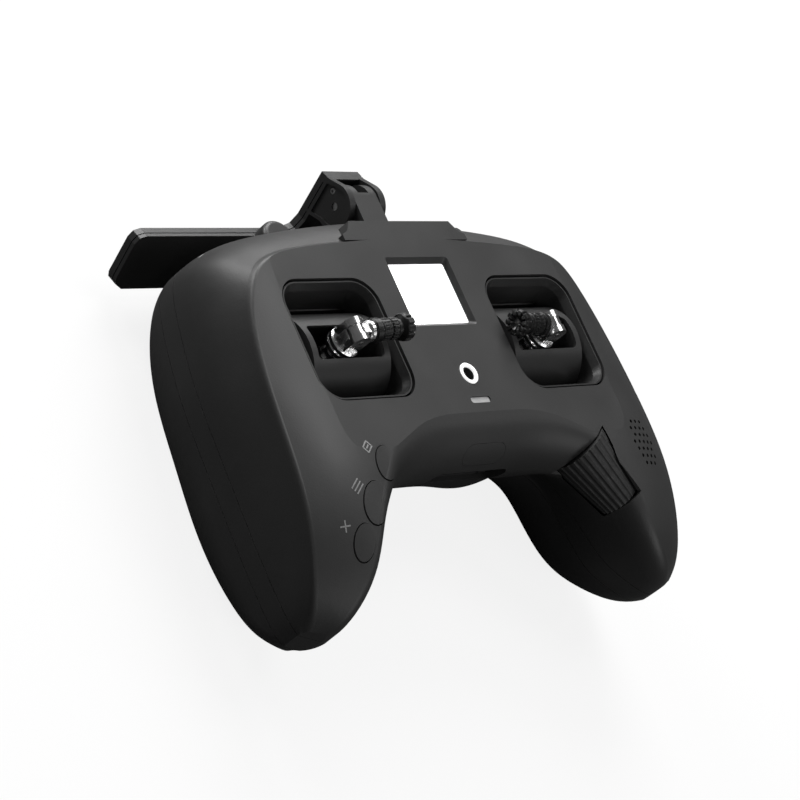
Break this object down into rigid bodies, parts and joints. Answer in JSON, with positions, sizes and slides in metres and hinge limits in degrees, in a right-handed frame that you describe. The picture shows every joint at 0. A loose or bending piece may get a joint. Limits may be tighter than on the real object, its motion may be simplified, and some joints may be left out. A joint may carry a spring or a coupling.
{
  "type": "radio transmitter controller",
  "caption": "Gamepad-style radio transmitter with folding thumb sticks, a folding T aerial, a blank display, grip keys and a thumb roller.",
  "frame": {"origin": "on the flat of the back, midway between the two stick centres", "axes": "+X to the right seen from the front, +Y from the grips to the aerial, +Z out of the face"},
  "size_m": [0.1748, 0.1503, 0.0679],
  "materials": {
    "shell_plastic": "soft-touch black, fine texture",
    "trim_plastic": "satin black moulding",
    "key_plastic": "satin black moulding",
    "roller_rubber": "ribbed black rubber",
    "chrome_metal": "bright plated",
    "black_metal": "black anodised, bright worn edges",
    "steel": "plain steel",
    "display_white": "blank white display",
    "display_clear": "clear window",
    "light_pipe": "translucent grey",
    "aerial_plastic": "fine matte black",
    "circuit_board": "green solder mask",
    "copper_strip": "etched copper",
    "module_metal": "screening can",
    "inner_plastic": "plain black moulding",
    "battery_wrap": "shrink wrap"
  },
  "bodies": {
    "casing": {"aerial_lug": "aerial_plastic", "audio_jack": "inner_plastic", "aux_cover": "shell_plastic", "battery_pack": "battery_wrap", "card_socket": "steel", "case_screws": "steel", "display_panel": "display_white", "display_window": "display_clear", "front_shell": "shell_plastic", "gimbal_bezel_left": "trim_plastic", "gimbal_bezel_right": "trim_plastic", "gimbal_frame_left": "trim_plastic", "gimbal_frame_right": "trim_plastic", "gimbal_screws": "steel", "gimbal_sensors": "inner_plastic", "key_board": "circuit_board", "main_board": "circuit_board", "mid_band": "shell_plastic", "port_plate": "inner_plastic", "power_ring": "chrome_metal", "radio_module": "module_metal", "rear_shell": "shell_plastic", "roller_bracket": "inner_plastic", "shoulder_switches": "inner_plastic", "speaker": "inner_plastic", "status_light": "light_pipe", "tact_switches": "inner_plastic", "trigger_switches": "inner_plastic", "usb_socket": "steel"},
    "drum_left": {"gimbal_drum_left": "trim_plastic"},
    "stick_base_left": {"stick_block_left": "trim_plastic", "stick_post_left": "chrome_metal"},
    "stick_left": {"stick_knuckle_left": "chrome_metal", "fold_pin_left": "steel", "lock_collar_left": "black_metal", "stick_tube_left": "black_metal", "stick_tip_left": "black_metal"},
    "drum_right": {"gimbal_drum_right": "trim_plastic"},
    "stick_base_right": {"stick_block_right": "trim_plastic", "stick_post_right": "chrome_metal"},
    "stick_right": {"stick_knuckle_right": "chrome_metal", "fold_pin_right": "steel", "lock_collar_right": "black_metal", "stick_tube_right": "black_metal", "stick_tip_right": "black_metal"},
    "aerial": {"aerial_arm": "aerial_plastic", "aerial_back_cover": "aerial_plastic", "aerial_strip": "copper_strip", "aerial_hinge_pin": "steel"},
    "roller": {"roller_wheel": "roller_rubber", "roller_axle": "steel"},
    "button_page_key": {"button_page": "key_plastic"},
    "button_menu_key": {"button_menu": "key_plastic"},
    "button_exit_key": {"button_exit": "key_plastic"},
    "power_button_key": {"power_button": "key_plastic"},
    "rocker_left": {"shoulder_rocker_left": "key_plastic"},
    "trigger_left": {"trigger_key_left": "key_plastic"},
    "rocker_right": {"shoulder_rocker_right": "key_plastic"},
    "trigger_right": {"trigger_key_right": "key_plastic"}
  },
  "joints": [
    {"name": "stick_updown_left", "type": "hinge", "parent": "casing", "child": "drum_left", "pos_m": [-0.0455, 0, 0.0419], "axis": [1, 0, 0], "range_deg": [-18, 18]},
    {"name": "stick_sideways_left", "type": "hinge", "parent": "drum_left", "child": "stick_base_left", "pos_m": [-0.0455, 0, 0.0419], "axis": [0, 1, 0], "range_deg": [-25, 1]},
    {"name": "stick_fold_left", "type": "hinge", "parent": "stick_base_left", "child": "stick_left", "pos_m": [-0.0455, 0, 0.0612], "axis": [0, -1, 0], "range_deg": [0, 83]},
    {"name": "stick_updown_right", "type": "hinge", "parent": "casing", "child": "drum_right", "pos_m": [0.0455, 0, 0.0419], "axis": [1, 0, 0], "range_deg": [-18, 18]},
    {"name": "stick_sideways_right", "type": "hinge", "parent": "drum_right", "child": "stick_base_right", "pos_m": [0.0455, 0, 0.0419], "axis": [0, -1, 0], "range_deg": [-25, 1]},
    {"name": "stick_fold_right", "type": "hinge", "parent": "stick_base_right", "child": "stick_right", "pos_m": [0.0455, 0, 0.0612], "axis": [0, 1, 0], "range_deg": [0, 83]},
    {"name": "aerial_fold", "type": "hinge", "parent": "casing", "child": "aerial", "pos_m": [0, 0.0555, 0.043], "axis": [1, 0, 0], "range_deg": [0, 95]},
    {"name": "roller_turn", "type": "hinge", "parent": "casing", "child": "roller", "pos_m": [0.04651, -0.03768, 0.04893], "axis": [0.5991, -0.7855, -0.1553], "continuous": true},
    {"name": "button_page_press", "type": "slide", "parent": "casing", "child": "button_page_key", "axis": [0, 0, -1], "range_m": [0, 0.0005]},
    {"name": "button_menu_press", "type": "slide", "parent": "casing", "child": "button_menu_key", "axis": [0, 0, -1], "range_m": [0, 0.0005]},
    {"name": "button_exit_press", "type": "slide", "parent": "casing", "child": "button_exit_key", "axis": [0, 0, -1], "range_m": [0, 0.0005]},
    {"name": "power_button_press", "type": "slide", "parent": "casing", "child": "power_button_key", "axis": [0, 0, -1], "range_m": [0, 0.0005]},
    {"name": "shoulder_rocker_left_tilt", "type": "hinge", "parent": "casing", "child": "rocker_left", "pos_m": [-0.032, 0.0405, 0.0354], "axis": [1, 0, 0], "range_deg": [-12, 12]},
    {"name": "trigger_key_left_press", "type": "slide", "parent": "casing", "child": "trigger_left", "axis": [0, -1, 0], "range_m": [0, 0.0008]},
    {"name": "shoulder_rocker_right_tilt", "type": "hinge", "parent": "casing", "child": "rocker_right", "pos_m": [0.032, 0.0405, 0.0354], "axis": [1, 0, 0], "range_deg": [-12, 12]},
    {"name": "trigger_key_right_press", "type": "slide", "parent": "casing", "child": "trigger_right", "axis": [0, -1, 0], "range_m": [0, 0.0008]}
  ]
}
